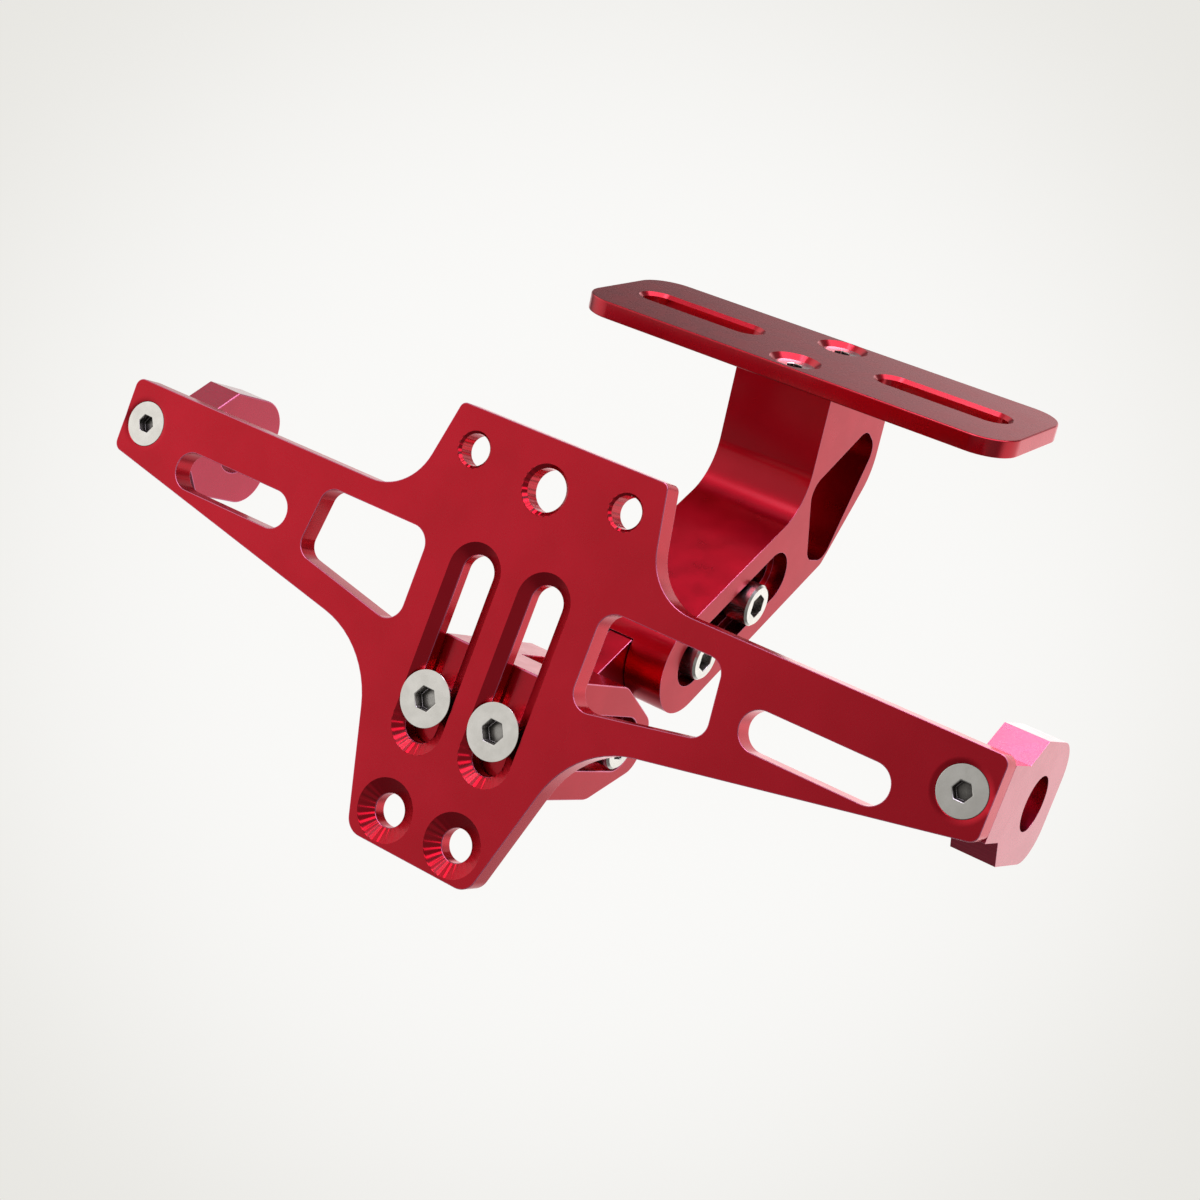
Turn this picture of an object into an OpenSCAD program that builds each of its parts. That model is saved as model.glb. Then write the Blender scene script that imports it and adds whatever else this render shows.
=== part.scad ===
// Tail tidy for a motorcycle: a number plate carrier on an adjustable two-piece arm,
// with a slotted top plate that bolts under the tail and a bracket for each indicator.
// Millimetres. The origin is the centre of the top plate's upper face, +Z is up,
// -Y points to the rear of the motorcycle and X runs across it.

/* [Top plate] */
// Length of the top plate across the motorcycle
top_len = 114; // [100:1:130]
// Width of the top plate, front to rear
top_w = 38; // [36:0.5:44]
// Thickness of the top plate
top_t = 4.2; // [4:0.1:6]
// Corner radius of the top plate
top_r = 9; // [4:0.5:14]
// Distance between the middles of the two fixing slots
top_slot_pitch = 65.7; // [60:0.1:74]
// Length of each fixing slot, end to end
top_slot_len = 33.1; // [20:0.1:38]
// Width of each fixing slot
top_slot_w = 8.6; // [6.6:0.1:10]
// Chamfer round the mouth of each fixing slot
top_slot_chamfer = 0.9; // [0.2:0.1:1.5]
// Place of the rear top screw, measured from the plate's middle
top_screw_rear_y = -11.5; // [-12:0.1:-9]
// Place of the front top screw, measured from the plate's middle
top_screw_front_y = 12.5; // [9:0.1:12.6]

/* [Upper arm] */
// Width of the upper arm and of the lower bracket
arm_w = 25.5; // [22:0.5:30]
// Rear face of the arm, under the top plate
arm_rear_y = -15; // [-17:0.5:-14]
// Front face of the arm, under the top plate
arm_front_y = 18.6; // [16:0.1:19]
// Slope of the arm's lower limb below level
arm_angle = 23.6; // [18:0.1:28]
// Half of the lower limb's depth, and the radius of its nose
limb_r = 11.7; // [10.5:0.1:13]
// Y of the upper end of the adjusting slot's centre line
slot_y = -22.75; // [-25:0.05:-21]
// Z of the upper end of the adjusting slot's centre line
slot_z = -47.46; // [-50:0.01:-45]
// Length of the adjusting slot's centre line
slot_run = 33.3; // [26:0.1:36]
// Extra length of the nose beyond the slot's rounded end
nose_out = 1.5; // [0:0.1:2]
// Radius of the hollow between the arm's rear face and its lower limb
arm_fillet_r = 13; // [8:0.5:16]
// Width of the gap that holds the link plate
gap_w = 6.4; // [6.2:0.1:8]
// Depth of the long recess that the bolt heads sit in
recess_d = 3.7; // [1:0.1:4]
// Width of that recess
recess_w = 12.4; // [12.2:0.1:13]
// Thickness of the arm's roof over that gap
roof_t = 2.8; // [2:0.1:3.5]

/* [Link plate] */
// Thickness of the link plate
link_t = 6; // [5:0.1:6.1]
// Depth of the link plate
link_w = 17.2; // [14:0.1:17.4]
// Place of the upper arm bolt along the adjusting slot
arm_bolt_at = 10.3; // [6.5:0.05:11]
// Distance between the two arm bolts
arm_bolt_pitch = 21.2; // [16:0.05:21.4]
// Distance from the lower arm bolt to the tilt bolt
tilt_reach = 32.8; // [32:0.1:40]

/* [Lower bracket] */
// Distance of the tilt bolt behind the carrier's rear face
tilt_y = 38.5; // [36:0.1:41]
// Height of the lower bracket
low_h = 26; // [24:0.5:30]
// Rounded end of the lower bracket, behind the carrier's rear face
low_end_y = 53; // [51:0.5:55]
// Where the solid part of the lower bracket ends and its gap starts
low_solid_y = 15.5; // [15:0.5:19]
// Length of the lower bracket's narrowing end
low_taper = 17.2; // [14:0.1:20]
// First end of the slot's centre line, behind the carrier's rear face
low_slot_a = 26; // [23:0.5:31]
// Last end of the slot's centre line
low_slot_b = 42; // [41.8:0.1:44]

/* [Number plate carrier] */
// Overall width of the carrier
carrier_w = 212; // [200:1:230]
// Thickness of the carrier
carrier_t = 5; // [4:0.1:5.5]
// Lean of the carrier from upright
lean = 18; // [10:1:25]
// Height of the carrier's head above the indicator screws
head_h = 30.6; // [28:0.1:34]
// Width of the head at its top
head_w = 49.8; // [46:0.1:54]
// Height of the side arms above the indicator screws
wing_up = 8.9; // [8:0.1:10]
// Depth of the side arms' tips below the indicator screws
wing_down = 7.4; // [7:0.1:9]
// Depth of the tongue below the indicator screws
tongue_d = 58.9; // [56:0.1:64]
// Width of the tongue at its end
tongue_w = 30.8; // [29:0.1:34]
// Distance of each centre slot from the middle
centre_slot_x = 8.53; // [8:0.01:9.2]
// Upper end of the centre slots' centre lines
centre_slot_top = -0.2; // [-4:0.1:0]
// Lower end of the centre slots' centre lines
centre_slot_low = -32.8; // [-34:0.1:-31]
// Height of the carrier screws from the indicator screws
carrier_screw_z = -27.3; // [-28:0.1:-24]
// Distance of each indicator screw from the carrier's end
indicator_in = 6; // [5:0.1:8]
// Length of the long slots in the side arms, end to end
wing_slot_len = 31.5; // [24:0.1:36]
// Distance of those slots' middles from the carrier's end
wing_slot_in = 33.95; // [32:0.05:36]
// Depth of the shallow mouth of the centre slots
mouth_d = 1.6; // [1.2:0.1:2.4]

/* [Indicator brackets] */
// Width of each indicator bracket
ind_w = 9.2; // [8:0.1:10]
// Distance from the screw to the bracket's outer right face
ind_out = 6; // [5.5:0.1:6]
// Height of the bracket's stem
ind_stem_h = 15; // [13:0.1:16]
// Height of the bracket's head
ind_head_h = 24.8; // [22:0.1:28]
// Where the stem ends and the head starts, on the upper side
ind_neck_up = 9; // [8:0.1:11]
// The same on the lower side
ind_neck_low = 7.8; // [7:0.1:10]
// End of the bracket, behind the carrier's rear face
ind_end_y = 33.3; // [31:0.1:37]
// Distance of the indicator hole behind the carrier's rear face
ind_hole_y = 21; // [19:0.1:23]
// Diameter of the indicator hole
ind_hole_d = 11.3; // [8:0.1:12]

/* [Colours] */
// Colour of the anodised aluminium pieces
red = [0.66, 0.09, 0.15];
// Colour of the stainless steel pieces
steel = [0.74, 0.72, 0.69];

/* [Hidden] */
$fn = 64;
eps = 0.01;
// Room between a shank and its hole
fit = 0.02;
// Clearance between a turning bolt and its hole
running = 0.05;
m6_r = 3;
m6_head_r = 6;
m5_r = 2.5;
m5_head_r = 5;
cap_head_r = 5;
cap_head_h = 6;
m6_slot_r = 3.3;
nut_af = 10;
nut_h = 5;
washer_r = 6;
washer_t = 1.2;
// Depth of the top screws' heads below the plate, and of the indicator screws' heads
top_sink = 1.2;
indicator_sink = 0.3;
indicator_x = carrier_w / 2 - indicator_in;
centre_slot_r = 3.7;
// Small chamfer on the carrier's rear side, round its slots and holes
back_c = 0.7;
// Height of the carrier screws' heads above the carrier, as they rest on the slot's edge
carrier_head_out = m6_head_r - centre_slot_r - mouth_d + 0.03;
seat_x = arm_w / 2 - recess_d;
tilt_at = arm_bolt_at + arm_bolt_pitch + tilt_reach;
low_z = carrier_screw_z;
// The tilt bolt's place in the side view, and the carrier's origin that follows from it
tilt_p = [slot_y, slot_z] - tilt_at * [cos(arm_angle), sin(arm_angle)];
carrier_y = tilt_p[0] - tilt_y * cos(lean) - low_z * sin(lean);
carrier_z = tilt_p[1] + tilt_y * sin(lean) - low_z * cos(lean);

// Unit vector from point p to point q
function unit(p, q) = (q - p) / norm(q - p);

// Corner q of an outline, between p and s, rounded at radius r
function corner(p, q, s, r) =
    r <= 0 ? [q] :
    let (u = unit(q, p), v = unit(q, s), half = acos(u * v) / 2)
    let (c = q + (u + v) / norm(u + v) * r / sin(half))
    let (b = q + u * r / tan(half) - c, e = q + v * r / tan(half) - c)
    let (start = atan2(b[1], b[0]))
    let (turn = (atan2(e[1], e[0]) - start + 540) % 360 - 180)
    let (n = ceil(abs(turn) / 6))
    [for (i = [0:n]) c + r * [cos(start + turn * i / n), sin(start + turn * i / n)]];

// Outline from corners [x, y, radius]
function rounded(pts) =
    let (k = len(pts), p = [for (q = pts) [q[0], q[1]]])
    [for (i = [0:k - 1]) each corner(p[(i + k - 1) % k], p[i], p[(i + 1) % k], pts[i][2])];

// Right half of an outline, top to bottom, completed by its mirror image
function both_halves(half) =
    concat(half, [for (i = [len(half) - 1:-1:0]) [-half[i][0], half[i][1], half[i][2]]]);

// A point on the lower limb: a along the slot's centre line, b to its upper side
function on_limb(a, b) =
    [slot_y - a * cos(arm_angle) - b * sin(arm_angle),
     slot_z - a * sin(arm_angle) + b * cos(arm_angle)];

// Where the limb's edge, b off the centre line, has the given y
function limb_z(b, y) = on_limb(0, b)[1] + (y - on_limb(0, b)[0]) * tan(arm_angle);

// Side view: local x is Y, local y is Z and local z is X
module side_view() {
    rotate([90, 0, 90]) children();
}

// The same, with local x running down the adjusting slot
module along_slot() {
    side_view() translate([slot_y, slot_z, 0]) rotate([0, 0, 180 + arm_angle]) children();
}

// The leaning frame of the carrier, its rear face at y = 0
module on_carrier() {
    translate([0, carrier_y, carrier_z]) rotate([-lean, 0, 0]) children();
}

// A place on the carrier's rear face, with local +z pointing out of it
module on_face(x, z) {
    translate([x, 0, z]) rotate([90, 0, 0]) children();
}

// A straight slot of half-width r, from the origin for run along +X
module slot_cut(run, r, h) {
    cylinder(h = h, r = r);
    translate([run, 0, 0]) cylinder(h = h, r = r);
    translate([0, -r, 0]) cube([run, 2 * r, h]);
}

// The mouth of such a slot at z = 0, widening by c over the depth d
module slot_mouth(run, r, c, d) {
    top = r + c * (d + eps) / d;
    for (x = [0, run])
        translate([x, 0, -d]) cylinder(h = d + eps, r1 = r, r2 = top);
    translate([0, 0, -d]) rotate([90, 0, 90]) linear_extrude(height = run)
        polygon([[-r, 0], [r, 0], [top, d + eps], [-top, d + eps]]);
}

// A through hole from z = 0 down to -h, with a mouth that widens by c over the depth d
module hole_cut(r, c, d, h) {
    translate([0, 0, -h - 1]) cylinder(h = h + 2, r = r);
    translate([0, 0, -d]) cylinder(h = d + eps, r1 = r, r2 = r + c * (d + eps) / d);
}

// The small chamfer on the rear side of a carrier hole of radius r
module back_mouth(r) {
    translate([0, 0, -eps]) cylinder(h = back_c + eps, r1 = r + back_c + eps, r2 = r);
}

// A countersunk screw along -Z, its head's face at z = 0
module csk_screw(r, head_r, len, key) {
    difference() {
        union() {
            translate([0, 0, r - head_r]) cylinder(h = head_r - r, r1 = r, r2 = head_r);
            translate([0, 0, 0.5 - len]) cylinder(h = len - 0.5 + r - head_r, r = r);
            translate([0, 0, -len]) cylinder(h = 0.5, r1 = r - 0.5, r2 = r);
        }
        translate([0, 0, -key * 0.55]) cylinder(h = key, r = key / 2 / cos(30), $fn = 6);
    }
}

// A socket cap bolt along -Z, the underside of its head at z = 0
module cap_bolt(len) {
    key = 5;
    difference() {
        union() {
            cylinder(h = cap_head_h - 0.5, r = cap_head_r);
            translate([0, 0, cap_head_h - 0.5])
                cylinder(h = 0.5, r1 = cap_head_r, r2 = cap_head_r - 0.5);
            translate([0, 0, 0.5 - len]) cylinder(h = len - 0.5, r = m6_r);
            translate([0, 0, -len]) cylinder(h = 0.5, r1 = m6_r - 0.5, r2 = m6_r);
        }
        translate([0, 0, cap_head_h - 3]) cylinder(h = 4, r = key / 2 / cos(30), $fn = 6);
    }
}

// A washer from z = 0 to its thickness
module washer() {
    difference() {
        cylinder(h = washer_t, r = washer_r);
        translate([0, 0, -1]) cylinder(h = washer_t + 2, r = m6_r + 0.2);
    }
}

// A hexagon nut from z = 0 to its height
module nut() {
    difference() {
        cylinder(h = nut_h, r = nut_af / 2 / cos(30), $fn = 6);
        translate([0, 0, -1]) cylinder(h = nut_h + 2, r = m6_r + fit);
    }
}

// Length of the cap bolts, from the head's seat to just past the nut
bolt_len = 2 * seat_x + washer_t + nut_h + 1.5;

module top_plate() {
    corner_x = top_len / 2;
    corner_y = top_w / 2;
    mouth = m5_head_r + top_sink + fit - m5_r - 0.2;
    color(red) difference() {
        translate([0, 0, -top_t]) linear_extrude(height = top_t) polygon(rounded([
            [corner_x, corner_y, top_r],
            [corner_x, -corner_y, top_r],
            [-corner_x, -corner_y, top_r],
            [-corner_x, corner_y, top_r]]));
        for (side = [-1, 1]) translate([side * top_slot_pitch / 2, 0, 0]) {
            run = top_slot_len - top_slot_w;
            translate([-run / 2, 0, 0]) {
                translate([0, 0, -top_t - 1]) slot_cut(run, top_slot_w / 2, top_t + 2);
                slot_mouth(run, top_slot_w / 2, top_slot_chamfer, top_slot_chamfer);
            }
        }
        for (y = [top_screw_rear_y, top_screw_front_y]) translate([0, y, 0])
            hole_cut(m5_r + 0.2, mouth, mouth, top_t);
    }
}

module top_screw(y) {
    color(steel) translate([0, y, -top_sink]) csk_screw(m5_r, m5_head_r, 12, 3.5);
}

module upper_arm() {
    limb_end = slot_run + limb_r + nose_out;
    shoulder_z = limb_z(limb_r, arm_rear_y);
    heel_y = 2;
    heel_z = limb_z(-limb_r, heel_y);
    nose_up = on_limb(limb_end, limb_r);
    nose_low = on_limb(limb_end, -limb_r);
    color(red) difference() {
        side_view() linear_extrude(height = arm_w, center = true) polygon(rounded([
            [arm_rear_y, -top_t, 0],
            [arm_rear_y, shoulder_z, arm_fillet_r],
            [nose_up[0], nose_up[1], limb_r - 0.2],
            [nose_low[0], nose_low[1], limb_r - 0.2],
            [heel_y, heel_z, 3],
            [arm_front_y, -28.9, 14],
            [arm_front_y, -top_t, 0]]));
        // The window that lightens the arm
        side_view() linear_extrude(height = arm_w + 2, center = true) polygon(rounded([
            [-13.5, -27, 4.5],
            [9.5, -16, 4.5],
            [16.5, -21.5, 4.5],
            [2.5, -48.5, 4.5],
            [-6.5, -46.5, 4.5]]));
        // The adjusting slot, recessed from both sides
        along_slot() {
            translate([0, 0, -arm_w / 2 - 1]) slot_cut(slot_run, m6_slot_r, arm_w + 2);
            translate([0, 0, seat_x]) slot_cut(slot_run, recess_w / 2, recess_d + 1);
            translate([0, 0, -seat_x - recess_d - 1])
                slot_cut(slot_run, recess_w / 2, recess_d + 1);
            // The gap for the link plate
            translate([-8, roof_t - limb_r, -gap_w / 2]) cube([limb_end + 20, 2 * limb_r + 5, gap_w]);
        }
        // Threaded holes for the top screws
        for (y = [top_screw_rear_y, top_screw_front_y]) translate([0, y, -top_t - 10])
            cylinder(h = 11, r = m5_r + fit);
    }
}

module link_plate() {
    upper = arm_bolt_at;
    color(red) along_slot() difference() {
        translate([upper, 0, -link_t / 2]) slot_cut(tilt_at - upper, link_w / 2, link_t);
        for (a = [upper, upper + arm_bolt_pitch, tilt_at])
            translate([a, 0, -link_t]) cylinder(h = 2 * link_t, r = m6_r + running);
    }
}

module arm_bolt(a) {
    color(steel) along_slot() translate([a, 0, seat_x]) cap_bolt(bolt_len);
}

module arm_washer(a) {
    color(steel) along_slot() translate([a, 0, -seat_x - washer_t]) washer();
}

module arm_nut(a) {
    color(steel) along_slot() translate([a, 0, -seat_x - washer_t - nut_h]) nut();
}

// The tilt bolt's place, seen from the side in the carrier's frame
module at_tilt() {
    on_carrier() side_view() translate([tilt_y, low_z, 0]) children();
}

module tilt_bolt() {
    color(steel) at_tilt() translate([0, 0, seat_x]) cap_bolt(bolt_len);
}

module tilt_washer() {
    color(steel) at_tilt() translate([0, 0, -seat_x - washer_t]) washer();
}

module tilt_nut() {
    color(steel) at_tilt() translate([0, 0, -seat_x - washer_t - nut_h]) nut();
}

module lower_bracket() {
    taper_y = low_end_y - low_taper;
    tip = low_h / 2 - low_taper * tan(23.6);
    run = low_slot_b - low_slot_a;
    color(red) on_carrier() difference() {
        side_view() translate([0, low_z, 0]) linear_extrude(height = arm_w, center = true)
            polygon(rounded([
                [0, low_h / 2, 0],
                [taper_y, low_h / 2, 6],
                [low_end_y, tip, tip - 0.2],
                [low_end_y, -tip, tip - 0.2],
                [taper_y, -low_h / 2, 6],
                [0, -low_h / 2, 0]]));
        side_view() translate([low_slot_a, low_z, 0]) {
            translate([0, 0, -arm_w / 2 - 1]) slot_cut(run, m6_slot_r, arm_w + 2);
            translate([0, 0, seat_x]) slot_cut(run, recess_w / 2, recess_d + 1);
            translate([0, 0, -seat_x - recess_d - 1]) slot_cut(run, recess_w / 2, recess_d + 1);
        }
        // The gap for the link plate
        translate([-gap_w / 2, low_solid_y, low_z - low_h]) cube([gap_w, 60, 2 * low_h]);
        // Threaded holes for the carrier screws
        for (side = [-1, 1]) on_face(side * centre_slot_x, low_z)
            translate([0, 0, -14]) cylinder(h = 15, r = m6_r + fit);
    }
}

module carrier_screw(side) {
    color(steel) on_carrier() on_face(side * centre_slot_x, low_z)
        translate([0, 0, carrier_t + carrier_head_out]) csk_screw(m6_r, m6_head_r, 16, 4.5);
}

module number_plate_carrier() {
    half_w = carrier_w / 2;
    head_foot = head_w / 2 + (head_h - wing_up) * 0.217;
    wing_root_z = -wing_down - (half_w - 26.2) * 0.188;
    slot_run_z = centre_slot_top - centre_slot_low;
    mouth = m6_head_r + 0.2 - centre_slot_r;
    wing_slot_r = 4.1;
    wing_run = wing_slot_len - 2 * wing_slot_r;
    wing_slot_x = half_w - wing_slot_in;
    color(red) on_carrier() difference() {
        on_face(0, 0) linear_extrude(height = carrier_t) polygon(rounded(both_halves([
            [head_w / 2, head_h, 1.5],
            [head_foot, wing_up, 12],
            [half_w, wing_up, 2],
            [half_w, -wing_down, 2],
            [26.2, wing_root_z, 21],
            [tongue_w / 2, -tongue_d, 4]])));
        for (side = [-1, 1]) {
            // The windows beside the middle
            on_face(0, 0) translate([0, 0, -1]) linear_extrude(height = carrier_t + 2)
                polygon(rounded([
                    [side * 21.5, 3.8, 4],
                    [side * 48.9, 3.8, 3.5],
                    [side * 50.8, -11.2, 3.5],
                    [side * 21.5, -17.0, 4]]));
            // The long slots in the wings, for the number plate's bolts
            on_face(side * wing_slot_x - wing_run / 2, -5.5) translate([0, 0, -1])
                slot_cut(wing_run, wing_slot_r, carrier_t + 2);
            // The centre slots, with a mouth for the countersunk heads
            on_face(side * centre_slot_x, centre_slot_top) rotate([0, 0, -90]) {
                translate([0, 0, -1]) slot_cut(slot_run_z, centre_slot_r, carrier_t + 2);
                translate([0, 0, carrier_t])
                    slot_mouth(slot_run_z, centre_slot_r, mouth, mouth_d);
                mirror([0, 0, 1]) slot_mouth(slot_run_z, centre_slot_r, back_c, back_c);
            }
            // Indicator screw holes
            on_face(side * indicator_x, 0) translate([0, 0, carrier_t]) {
                seat = m5_head_r + fit - m5_r - 0.2;
                translate([0, 0, -indicator_sink]) hole_cut(m5_r + 0.2, seat, seat, carrier_t);
                translate([0, 0, -indicator_sink])
                    cylinder(h = 1, r1 = m5_head_r + fit, r2 = m5_head_r + 4);
            }
            // Small holes at the top and countersunk holes at the foot
            on_face(side * 18.4, 22.5) {
                translate([0, 0, carrier_t]) hole_cut(3.3, 0.5, 0.5, carrier_t);
                back_mouth(3.3);
            }
            on_face(side * 8.6, -51.6) translate([0, 0, carrier_t])
                hole_cut(3.5, 3.2, 1.9, carrier_t);
        }
        on_face(0, 20.5) {
            translate([0, 0, carrier_t]) hole_cut(4.4, 0.8, 0.8, carrier_t);
            back_mouth(4.4);
        }
    }
}

module indicator_bracket(x) {
    rise = (ind_head_h - ind_stem_h) / 2;
    shoulder_up = ind_neck_up + 1.2 * rise;
    shoulder_low = ind_neck_low + 0.9 * rise;
    color(red) on_carrier() difference() {
        side_view() translate([0, 0, x + ind_out - ind_w]) linear_extrude(height = ind_w)
            polygon(rounded([
                [0, ind_stem_h / 2, 0],
                [ind_neck_up, ind_stem_h / 2, 0],
                [shoulder_up, ind_head_h / 2, 0],
                [ind_end_y, ind_head_h / 2, 7.5],
                [ind_end_y, -ind_head_h / 2, 7.5],
                [shoulder_low, -ind_head_h / 2, 0],
                [ind_neck_low, -ind_stem_h / 2, 0],
                [0, -ind_stem_h / 2, 0]]));
        side_view() translate([ind_hole_y, 0, x - 20]) cylinder(h = 40, r = ind_hole_d / 2);
        on_face(x, 0) translate([0, 0, -10]) cylinder(h = 11, r = m5_r + fit);
    }
}

module indicator_screw(side) {
    color(steel) on_carrier() on_face(side * indicator_x, 0)
        translate([0, 0, carrier_t - indicator_sink]) csk_screw(m5_r, m5_head_r, 12, 3.5);
}

top_plate();
top_screw(top_screw_front_y);  // top_screw_front
top_screw(top_screw_rear_y);  // top_screw_rear
upper_arm();
link_plate();
arm_bolt(arm_bolt_at);  // arm_bolt_upper
arm_bolt(arm_bolt_at + arm_bolt_pitch);  // arm_bolt_lower
arm_washer(arm_bolt_at);  // arm_washer_upper
arm_washer(arm_bolt_at + arm_bolt_pitch);  // arm_washer_lower
arm_nut(arm_bolt_at);  // arm_nut_upper
arm_nut(arm_bolt_at + arm_bolt_pitch);  // arm_nut_lower
tilt_bolt();
tilt_washer();
tilt_nut();
lower_bracket();
carrier_screw(1);  // carrier_screw_right
carrier_screw(-1);  // carrier_screw_left
number_plate_carrier();
indicator_bracket(indicator_x);  // indicator_bracket_right
indicator_bracket(-indicator_x);  // indicator_bracket_left
indicator_screw(1);  // indicator_screw_right
indicator_screw(-1);  // indicator_screw_left
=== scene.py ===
# %% [markdown]
# # A tail tidy in red anodised aluminium
#
# A tail tidy carries a motorcycle's number plate and its indicators on a short arm under
# the tail. This one is milled from aluminium plate and bar and dyed red, and it is held
# together by stainless socket screws. The solids come from the CAD part, in metres, and
# stay where they are. Blender adds what makes them look like metal: broken edges, a
# finish with grain in it, a studio round them and the camera of the photograph.

# %% Open the frame
import math

import bpy
from mathutils import Matrix, Vector

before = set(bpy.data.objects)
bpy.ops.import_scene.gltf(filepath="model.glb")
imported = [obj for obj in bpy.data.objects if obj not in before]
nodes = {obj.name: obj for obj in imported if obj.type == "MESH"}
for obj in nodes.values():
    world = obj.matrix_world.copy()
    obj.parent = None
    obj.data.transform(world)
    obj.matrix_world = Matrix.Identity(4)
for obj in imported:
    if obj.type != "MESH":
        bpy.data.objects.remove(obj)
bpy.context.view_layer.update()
scene = bpy.context.scene
MM = 0.001

# %% [markdown]
# ## The camera
#
# A camera could be placed by eye, but the carrier's right angles and round holes give it
# exactly: they fix the lens and the place from which the photograph was taken. The three
# directions below are the picture's right, down and forward in the part's own frame.

# %% Place the camera
CAMERA_PLACE_MM = (204.83, -440.52, 121.43)
CAMERA_LENS_MM = 63.222
PICTURE_RIGHT = (0.813479, 0.548303, 0.193950)
PICTURE_FORWARD = (-0.456406, 0.808529, -0.371447)

right = Vector(PICTURE_RIGHT).normalized()
forward = Vector(PICTURE_FORWARD).normalized()
up = right.cross(forward).normalized()
camera = bpy.data.cameras.new("photo_camera")
camera.lens = CAMERA_LENS_MM
camera.sensor_width = 36.0
camera.clip_start = 0.01
camera.clip_end = 50.0
camera_object = bpy.data.objects.new("photo_camera", camera)
scene.collection.objects.link(camera_object)
turn = Matrix((right, up, -forward)).transposed().to_4x4()
camera_object.matrix_world = Matrix.Translation(Vector(CAMERA_PLACE_MM) * MM) @ turn
scene.camera = camera_object
print("camera looks along", tuple(round(v, 3) for v in forward))

# %% [markdown]
# ## The studio
#
# The part was photographed in a white studio. Metal shows what it mirrors, so the world is
# painted by direction, as a dim room with patches of light. The dyed metal gives back
# about half the red it gets and less than a hundredth of the green, so what looks pale
# pink in the photograph is a sheen of the clear skin over it, from something brighter
# than paper: the lamps overhead. The other patches are the paper behind the part and on
# the floor, a white wall on the right, which makes the side faces pale, and a softer one
# on the left, which brightens the carrier's left end.

# %% Paint the world by direction
def link(tree, a, b):
    """Joins output a to input b."""
    tree.links.new(a, b)


def value_map(tree, source, low, high, to_low, to_high):
    """A Map Range node, smooth between its ends: source from low..high to to_low..to_high."""
    node = tree.nodes.new("ShaderNodeMapRange")
    node.interpolation_type = "SMOOTHSTEP"
    link(tree, source, node.inputs["Value"])
    ends = {"From Min": low, "From Max": high, "To Min": to_low, "To Max": to_high}
    for name, number in ends.items():
        node.inputs[name].default_value = number
    return node.outputs["Result"]


def maths(tree, operation, a, b):
    """A Math node on two sockets or numbers."""
    node = tree.nodes.new("ShaderNodeMath")
    node.operation = operation
    for socket, item in zip(node.inputs, (a, b)):
        if isinstance(item, (int, float)):
            socket.default_value = item
        else:
            link(tree, item, socket)
    return node.outputs[0]


world = bpy.data.worlds.new("studio")
scene.world = world
world.use_nodes = True
tree = world.node_tree
tree.nodes.clear()
ways = tree.nodes.new("ShaderNodeTexCoord")

def lobe(tree, toward, low, high, strength):
    """A soft patch of light round a direction: strength where the cosine is above high."""
    near = tree.nodes.new("ShaderNodeVectorMath")
    near.operation = "DOT_PRODUCT"
    link(tree, ways.outputs["Generated"], near.inputs[0])
    near.inputs[1].default_value = Vector(toward).normalized()
    return value_map(tree, near.outputs["Value"], low, high, 0.0, strength)


def total(tree, first, patches):
    """The level first plus all the patches of light."""
    level = first
    for patch in patches:
        level = maths(tree, "ADD", level, lobe(tree, *patch))
    return level


def background(tree, colour, level):
    """A Background shader of the given colour and level."""
    node = tree.nodes.new("ShaderNodeBackground")
    node.inputs["Color"].default_value = (*colour, 1.0)
    link(tree, level, node.inputs["Strength"])
    return node.outputs[0]


WALLS = (
    ((-0.85, -0.45, 0.25), 0.56, 0.97, 0.78),
    ((0.0, 0.97, -0.20), 0.76, 0.95, 0.95),
    ((0.85, 0.45, -0.30), 0.75, 0.95, 0.75),
    ((-0.60, 0.75, -0.30), 0.875, 0.96, 0.60),
    ((-0.25, 0.55, -0.80), 0.75, 0.95, 0.45),
    ((0.60, -0.75, 0.20), 0.60, 0.95, 0.12),
    ((-0.75, 0.20, 0.63), 0.92, 0.98, 0.45),
)
LAMPS = (
    ((0.25, -0.05, 0.97), 0.77, 0.87, 1.8),
    ((-0.24, -0.38, 0.89), 0.975, 0.99, 2.5),
    ((0.0, 0.42, 0.90), 0.925, 0.965, 5.5),
)
room = background(tree, (1.0, 0.985, 0.965), total(tree, 0.15, WALLS))
lamps = background(tree, (0.95, 0.86, 1.10), total(tree, 0.0, LAMPS))
lit = tree.nodes.new("ShaderNodeAddShader")
link(tree, room, lit.inputs[0])
link(tree, lamps, lit.inputs[1])

# the paper seen by the camera, with a painted pool of light: near white in the middle, darker and
# a little warmer to the corners
middle = tree.nodes.new("ShaderNodeVectorMath")
middle.operation = "DOT_PRODUCT"
link(tree, ways.outputs["Generated"], middle.inputs[0])
middle.inputs[1].default_value = forward
fade = value_map(tree, middle.outputs["Value"], 0.925, 0.995, 0.0, 1.0)
paper = tree.nodes.new("ShaderNodeMix")
paper.data_type = "RGBA"
link(tree, fade, paper.inputs["Factor"])
paper.inputs[6].default_value = (0.81, 0.80, 0.765, 1.0)
paper.inputs[7].default_value = (0.955, 0.95, 0.935, 1.0)
seen = tree.nodes.new("ShaderNodeBackground")
link(tree, paper.outputs[2], seen.inputs["Color"])
path = tree.nodes.new("ShaderNodeLightPath")
choose = tree.nodes.new("ShaderNodeMixShader")
link(tree, path.outputs["Is Camera Ray"], choose.inputs[0])
link(tree, lit.outputs[0], choose.inputs[1])
link(tree, seen.outputs[0], choose.inputs[2])
out = tree.nodes.new("ShaderNodeOutputWorld")
link(tree, choose.outputs[0], out.inputs["Surface"])
scene.view_settings.view_transform = "Standard"
print("world nodes:", len(tree.nodes))
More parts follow.
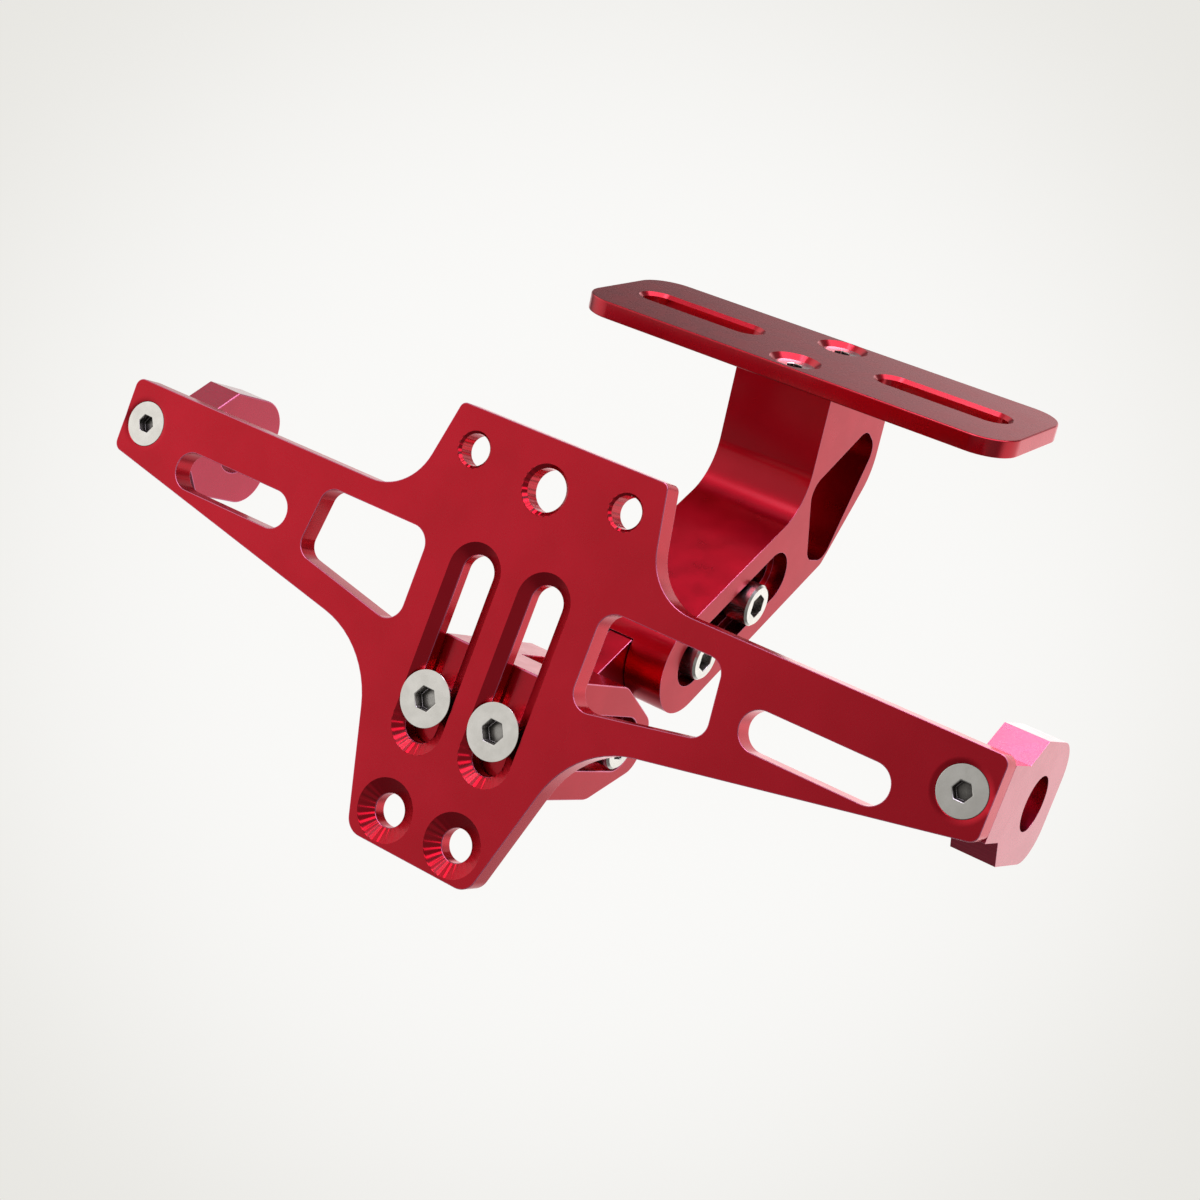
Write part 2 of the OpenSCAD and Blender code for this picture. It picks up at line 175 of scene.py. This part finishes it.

# %% [markdown]
# ## The red finish
#
# Anodising grows a clear hard skin on the aluminium and the dye sits inside it. Light
# that passes the skin comes back red, and the skin itself gives a white sheen, stronger
# at a low angle. A metal in the dye's colour under a thin clear coat does the same. The
# fine grain is the satin left by blasting, made as a bump from noise in object space.
# The indicator brackets are cut from an extruded bar with a thicker, paler skin. The arm
# and its brackets get a darker copy of the red, which is painted shade. The edges get a
# paler, pinker metal of their own, which is a painted highlight along them.

# %% Make the red anodised metal
def new_material(name):
    """An empty node material and its Principled shader."""
    made = bpy.data.materials.new(name)
    made.use_nodes = True
    return made, made.node_tree, made.node_tree.nodes["Principled BSDF"]


def grain(tree, size_mm, detail, low, high):
    """Noise in object space with lumps of size_mm, as a value from low to high."""
    coords = tree.nodes.new("ShaderNodeTexCoord")
    noise = tree.nodes.new("ShaderNodeTexNoise")
    noise.inputs["Scale"].default_value = 1.0 / (size_mm * MM)
    noise.inputs["Detail"].default_value = detail
    link(tree, coords.outputs["Object"], noise.inputs["Vector"])
    return value_map(tree, noise.outputs[0], 0.25, 0.75, low, high)


def bump(tree, shader, height, depth_mm, strength):
    """Lets a height value tilt the surface, on top of any bump the shader already has."""
    node = tree.nodes.new("ShaderNodeBump")
    node.inputs["Distance"].default_value = depth_mm * MM
    node.inputs["Strength"].default_value = strength
    link(tree, height, node.inputs["Height"])
    for earlier in shader.inputs["Normal"].links:
        link(tree, earlier.from_socket, node.inputs["Normal"])
    link(tree, node.outputs[0], shader.inputs["Normal"])


def mixed_colour(tree, factor, one, two):
    """A colour between one and two."""
    node = tree.nodes.new("ShaderNodeMix")
    node.data_type = "RGBA"
    link(tree, factor, node.inputs["Factor"])
    node.inputs[6].default_value = (*one, 1.0)
    node.inputs[7].default_value = (*two, 1.0)
    return node.outputs[2]


def painted_shade_in_hollows(tree, colour, reach_mm, open_enough, dark):
    """Painted shade: the colour, going to dark where walls within reach_mm hide the surroundings.
    """
    sky = tree.nodes.new("ShaderNodeAmbientOcclusion")
    sky.inputs["Distance"].default_value = reach_mm * MM
    node = tree.nodes.new("ShaderNodeMix")
    node.data_type = "RGBA"
    open_sky = value_map(tree, sky.outputs["AO"], 0.35, open_enough, 0.0, 1.0)
    link(tree, open_sky, node.inputs["Factor"])
    node.inputs[6].default_value = (*dark, 1.0)
    link(tree, colour, node.inputs[7])
    return node.outputs[2]


DYE = ((0.52, 0.005, 0.018), (0.57, 0.007, 0.023))
SHADED_RED = ((0.43, 0.004, 0.015), (0.48, 0.006, 0.019))
BAR_DYE = ((0.50, 0.012, 0.05), (0.55, 0.016, 0.062))
PALE_EDGE_HIGHLIGHT = ((0.66, 0.13, 0.24), (0.74, 0.19, 0.32))


def anodised(name, coat, rough_low, rough_high, relief=None, colours=DYE):
    """Red anodised aluminium: a dyed metal under a clear coat, with relief(tree, shader)."""
    made, tree, shader = new_material(name)
    dye = mixed_colour(tree, grain(tree, 14.0, 3.0, 0.0, 1.0), *colours)
    link(tree, dye, shader.inputs["Base Color"])
    shader.inputs["Metallic"].default_value = 1.0
    link(tree, grain(tree, 5.0, 4.0, rough_low, rough_high), shader.inputs["Roughness"])
    shader.inputs["Specular Tint"].default_value = (1.0, 0.8, 0.85, 1.0)
    shader.inputs["Coat Weight"].default_value = coat
    shader.inputs["Coat Roughness"].default_value = 0.12
    shader.inputs["Coat IOR"].default_value = 1.5
    bump(tree, shader, grain(tree, 0.25, 2.0, 0.0, 1.0), 0.01, 0.12)
    if relief:
        relief(tree, shader)
    print(name, "nodes:", len(tree.nodes))
    return made


# the arm, link and lower bracket take the darker red, which is painted shade
red = anodised("red_anodised", 0.35, 0.27, 0.33, None, SHADED_RED)
red_plate = anodised("red_anodised_plate", 0.75, 0.24, 0.30)
# the paler, pinker metal for the rounded edges is a painted highlight
red_edge_highlight = anodised("red_anodised_edge_highlight", 0.5, 0.22, 0.30, None, PALE_EDGE_HIGHLIGHT)

# %% [markdown]
# ## Marks of the tools
#
# Two marks show in the photograph. A countersink that chatters leaves short spokes round
# a hole, which is a sine of the angle about the hole's axis: height = sin(n * angle),
# kept to the ring between two radii. An extrusion die leaves long scratches, which are
# noise stretched a long way in the direction the bar came out, here X. The carrier's
# angle is measured in its own leaning plane: u = X and w = Y sin 18 + Z cos 18.

# %% Add the tool marks
LEAN = math.radians(18.0)
CARRIER_ORIGIN_MM = (-109.852, -35.341)
HOLE_RINGS_MM = (
    (8.6, -51.6, 3.6, 6.6, 24),
    (-8.6, -51.6, 3.6, 6.6, 24),
    (8.53, -32.8, 3.9, 6.2, 22),
    (-8.53, -32.8, 3.9, 6.2, 22),
    (18.4, 22.5, 3.0, 3.9, 18),
    (-18.4, 22.5, 3.0, 3.9, 18),
    (0.0, 20.5, 4.1, 5.3, 24),
)


def separate(tree, vector):
    """The X, Y and Z of a vector."""
    node = tree.nodes.new("ShaderNodeSeparateXYZ")
    link(tree, vector, node.inputs[0])
    return node.outputs


def chatter(tree, shader):
    """Spokes round each hole of the carrier: sin(n * angle) inside a ring.

    They are deepest to the lower left of each hole, where side = (du + dw) / r is low.
    """
    coords = tree.nodes.new("ShaderNodeTexCoord")
    x, y, z = separate(tree, coords.outputs["Object"])
    y = maths(tree, "SUBTRACT", y, CARRIER_ORIGIN_MM[0] * MM)
    z = maths(tree, "SUBTRACT", z, CARRIER_ORIGIN_MM[1] * MM)
    from_y = maths(tree, "MULTIPLY", y, math.sin(LEAN))
    from_z = maths(tree, "MULTIPLY", z, math.cos(LEAN))
    w = maths(tree, "ADD", from_y, from_z)
    height = 0.0
    for hole_u, hole_w, r_in, r_out, spokes in HOLE_RINGS_MM:
        du = maths(tree, "SUBTRACT", x, hole_u * MM)
        dw = maths(tree, "SUBTRACT", w, hole_w * MM)
        du_squared = maths(tree, "MULTIPLY", du, du)
        dw_squared = maths(tree, "MULTIPLY", dw, dw)
        r = maths(tree, "SQRT", maths(tree, "ADD", du_squared, dw_squared), 0.0)
        turns = maths(tree, "MULTIPLY", maths(tree, "ARCTAN2", dw, du), float(spokes))
        wave = maths(tree, "SINE", turns, 0.0)
        inner = value_map(tree, r, (r_in - 0.1) * MM, (r_in + 0.1) * MM, 0.0, 1.0)
        outer = value_map(tree, r, (r_out - 0.1) * MM, (r_out + 0.1) * MM, 1.0, 0.0)
        side = maths(tree, "DIVIDE", maths(tree, "ADD", du, dw), r)
        deep = value_map(tree, side, -0.9, 0.3, 1.0, 0.15)
        ring = maths(tree, "MULTIPLY", inner, outer)
        ring = maths(tree, "MULTIPLY", ring, deep)
        spoke = maths(tree, "MULTIPLY", ring, wave)
        height = maths(tree, "ADD", height, spoke)
    bump(tree, shader, height, 0.06, 1.0)


def die_lines(tree, shader):
    """Scratches along X: noise 0.35 mm across and forty times as long, off the end faces."""
    coords = tree.nodes.new("ShaderNodeTexCoord")
    stretch = tree.nodes.new("ShaderNodeVectorMath")
    stretch.operation = "MULTIPLY"
    link(tree, coords.outputs["Object"], stretch.inputs[0])
    stretch.inputs[1].default_value = (0.025, 1.0, 1.0)
    noise = tree.nodes.new("ShaderNodeTexNoise")
    noise.inputs["Scale"].default_value = 1.0 / (0.35 * MM)
    noise.inputs["Detail"].default_value = 2.0
    link(tree, stretch.outputs[0], noise.inputs["Vector"])
    normal_x = separate(tree, coords.outputs["Normal"])[0]
    side = value_map(tree, maths(tree, "ABSOLUTE", normal_x, 0.0), 0.3, 0.7, 1.0, 0.0)
    bump(tree, shader, maths(tree, "MULTIPLY", noise.outputs[0], side), 0.06, 0.8)


red_carrier = anodised("red_anodised_carrier", 0.35, 0.24, 0.30, chatter)
red_extruded = anodised("red_anodised_extrusion", 1.0, 0.24, 0.32, die_lines, BAR_DYE)

# %% [markdown]
# ## The stainless screws
#
# The screws are plain stainless steel: grey, slightly warm, with a turned face that is
# smoother than the blasted aluminium. Little light gets into the sockets, so shade is
# painted into the steel's colour in its hollows.

# %% Make the stainless steel
stainless, tree, shader = new_material("stainless")
tone_and_painted_shade = mixed_colour(tree, grain(tree, 3.0, 3.0, 0.0, 1.0), (0.80, 0.78, 0.73), (0.90, 0.88, 0.83))
# painted shade: the steel's colour goes dark in the sockets and other hollows
tone_and_painted_shade = painted_shade_in_hollows(tree, tone_and_painted_shade, 3.0, 0.92, (0.05, 0.045, 0.04))
link(tree, tone_and_painted_shade, shader.inputs["Base Color"])
shader.inputs["Metallic"].default_value = 1.0
link(tree, grain(tree, 1.2, 4.0, 0.20, 0.27), shader.inputs["Roughness"])
bump(tree, shader, grain(tree, 0.18, 2.0, 0.0, 1.0), 0.006, 0.12)
print("stainless nodes:", len(tree.nodes))

# %% [markdown]
# ## Broken edges
#
# No milled edge is perfectly sharp. A small rounding runs along every outline and catches
# the light as a thin bright line. The CAD solids have sharp edges, so the rounding is a
# modifier: the loose triangles are merged, flat areas become single faces, and a bevel
# rounds every edge that turns by more than fifty degrees. Rounded, it always has some
# strip that mirrors the lamp; a flat chamfer would catch it from one side only. On most
# pieces the rounded strip also gets a paler, pinker metal, which is a painted highlight. The top
# plate's edges show no pale line in the photograph, so they keep the plate's own finish.

# %% Round the edges of the CAD nodes
def shade_by_angle_group(limit):
    """Geometry nodes that smooth a mesh except at edges sharper than limit, in radians."""
    group = bpy.data.node_groups.new("smooth_below_angle", "GeometryNodeTree")
    group.interface.new_socket("Geometry", in_out="INPUT", socket_type="NodeSocketGeometry")
    group.interface.new_socket("Geometry", in_out="OUTPUT", socket_type="NodeSocketGeometry")
    start = group.nodes.new("NodeGroupInput")
    end = group.nodes.new("NodeGroupOutput")
    drop = group.nodes.new("GeometryNodeRemoveAttribute")
    drop.inputs["Name"].default_value = "custom_normal"
    faces = group.nodes.new("GeometryNodeSetShadeSmooth")
    faces.domain = "FACE"
    edges = group.nodes.new("GeometryNodeSetShadeSmooth")
    edges.domain = "EDGE"
    edges.inputs["Shade Smooth"].default_value = False
    angle = group.nodes.new("GeometryNodeInputMeshEdgeAngle")
    compare = group.nodes.new("FunctionNodeCompare")
    compare.operation = "GREATER_THAN"
    link(group, angle.outputs["Unsigned Angle"], compare.inputs[0])
    compare.inputs[1].default_value = limit
    link(group, start.outputs[0], drop.inputs[0])
    link(group, drop.outputs[0], faces.inputs[0])
    link(group, faces.outputs[0], edges.inputs[0])
    link(group, compare.outputs[0], edges.inputs["Selection"])
    link(group, edges.outputs[0], end.inputs[0])
    return group


SMOOTH_LIMIT = math.radians(26)
smooth_group = shade_by_angle_group(SMOOTH_LIMIT)


def break_edges(piece, width_mm, edge_slot):
    """Merges, flattens, rounds and smooths a CAD node by modifiers alone.

    The rounded strip takes the material in edge_slot, or its neighbour's if that is -1.
    """
    weld = piece.modifiers.new("merge", "WELD")
    weld.merge_threshold = 0.002 * MM
    flat = piece.modifiers.new("flatten", "DECIMATE")
    flat.decimate_type = "DISSOLVE"
    flat.angle_limit = math.radians(0.6)
    bevel = piece.modifiers.new("rounding", "BEVEL")
    bevel.width = width_mm * MM
    bevel.segments = 3
    bevel.limit_method = "ANGLE"
    bevel.angle_limit = math.radians(50)
    bevel.use_clamp_overlap = True
    bevel.material = edge_slot
    soft = piece.modifiers.new("smooth", "NODES")
    soft.node_group = smooth_group
    weighted = piece.modifiers.new("keep_flats_flat", "WEIGHTED_NORMAL")
    weighted.keep_sharp = True


ROUNDING_MM = {
    "top_plate": 0.45,
    "upper_arm": 0.35,
    "lower_bracket": 0.35,
    "link_plate": 0.3,
    "number_plate_carrier": 0.45,
    "indicator_bracket_right": 0.4,
    "indicator_bracket_left": 0.35,
}
STEEL_ROUNDING_MM = 0.2
OWN_FINISH = {
    "top_plate": red_plate,
    "number_plate_carrier": red_carrier,
    "indicator_bracket_right": red_extruded,
    "indicator_bracket_left": red_extruded,
}
for name, piece in nodes.items():
    piece.data.materials.clear()
    edge_slot = -1
    if name in ROUNDING_MM:
        piece.data.materials.append(OWN_FINISH.get(name, red))
        if name != "top_plate":
            # the rounded strip gets the paler metal, a painted highlight
            piece.data.materials.append(red_edge_highlight)
            edge_slot = 1
    else:
        piece.data.materials.append(stainless)
    break_edges(piece, ROUNDING_MM.get(name, STEEL_ROUNDING_MM), edge_slot)
print("rounded the edges of", len(nodes), "nodes")
